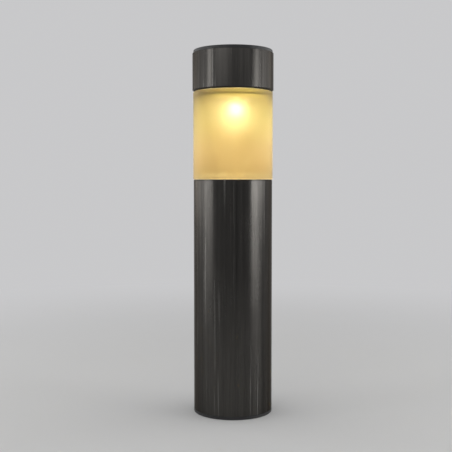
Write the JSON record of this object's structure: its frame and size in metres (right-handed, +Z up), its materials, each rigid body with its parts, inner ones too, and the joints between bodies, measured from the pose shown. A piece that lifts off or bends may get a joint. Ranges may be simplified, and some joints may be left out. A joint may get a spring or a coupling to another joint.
{
  "type": "solar garden light",
  "caption": "Round stainless solar garden light with a glowing frosted lens, a lift-off solar head and a ground stake.",
  "frame": {"origin": "on the light's axis at ground level, where the stake enters the soil", "axes": "+Z up along the axis, -Y the front, +X to the right seen from the front"},
  "size_m": [0.0782, 0.0782, 0.475],
  "materials": {
    "stainless": "brushed along the tube, dark reflections",
    "black_plastic": "fine moulded grain",
    "dark_plastic": "fine moulded grain",
    "white_plastic": "smooth moulded",
    "knob_plastic": "smooth moulded",
    "frosted_lens": "frosted translucent, lit warm from inside",
    "black_rubber": "matt",
    "zinc_screw": "zinc plated",
    "clear_window": "clear, polished",
    "solar_silicon": "dark blue silicon",
    "panel_laminate": "dark laminate",
    "tinned_metal": "tinned",
    "circuit_board": "green solder mask",
    "chip_resin": "moulded resin",
    "winding": "enamelled copper",
    "capacitor_sleeve": "shrink sleeve",
    "led_resin": "clear epoxy, lit",
    "battery_jacket": "printed wrap, no marks",
    "red_wire": "insulation",
    "black_wire": "insulation"
  },
  "bodies": {
    "stake": {"ground_stake": "black_plastic"},
    "post": {"base_plug": "black_plastic", "body_tube": "stainless", "tube_collar": "white_plastic", "collar_seal": "black_rubber", "reflector_plate": "white_plastic", "reflector_screws": "zinc_screw", "diffuser": "frosted_lens"},
    "head": {"cap_sleeve": "stainless", "head_housing": "black_plastic", "lens_gasket": "black_rubber", "base_plate": "white_plastic", "base_screws": "zinc_screw", "skirt_o_ring": "black_rubber", "panel_window": "clear_window", "panel_seal": "black_rubber", "panel_board": "panel_laminate", "solar_cells": "solar_silicon", "cell_ribbons": "tinned_metal", "control_board": "circuit_board", "board_screws": "zinc_screw", "driver_chip": "chip_resin", "inductor": "winding", "capacitor": "capacitor_sleeve", "switch_body": "dark_plastic", "led_holder": "white_plastic", "led_lamp": "led_resin", "led_leads": "tinned_metal", "battery_cell": "battery_jacket", "battery_box": "dark_plastic", "battery_spring": "tinned_metal", "battery_contact_plus": "tinned_metal", "battery_contact_minus": "tinned_metal", "battery_cover": "dark_plastic", "cover_gasket": "black_rubber", "cover_screws": "zinc_screw", "panel_wire_red": "red_wire", "panel_wire_black": "black_wire", "battery_wire_red": "red_wire", "battery_wire_black": "black_wire"},
    "switch": {"switch_knob": "knob_plastic"}
  },
  "joints": [
    {"name": "post_slide", "type": "slide", "parent": "stake", "child": "post", "axis": [0, 0, 1], "range_m": [0, 0.04]},
    {"name": "head_slide", "type": "slide", "parent": "post", "child": "head", "axis": [0, 0, 1], "range_m": [0, 0.06]},
    {"name": "switch_slide", "type": "slide", "parent": "head", "child": "switch", "axis": [1, 0, 0], "range_m": [0, 0.0025]}
  ]
}
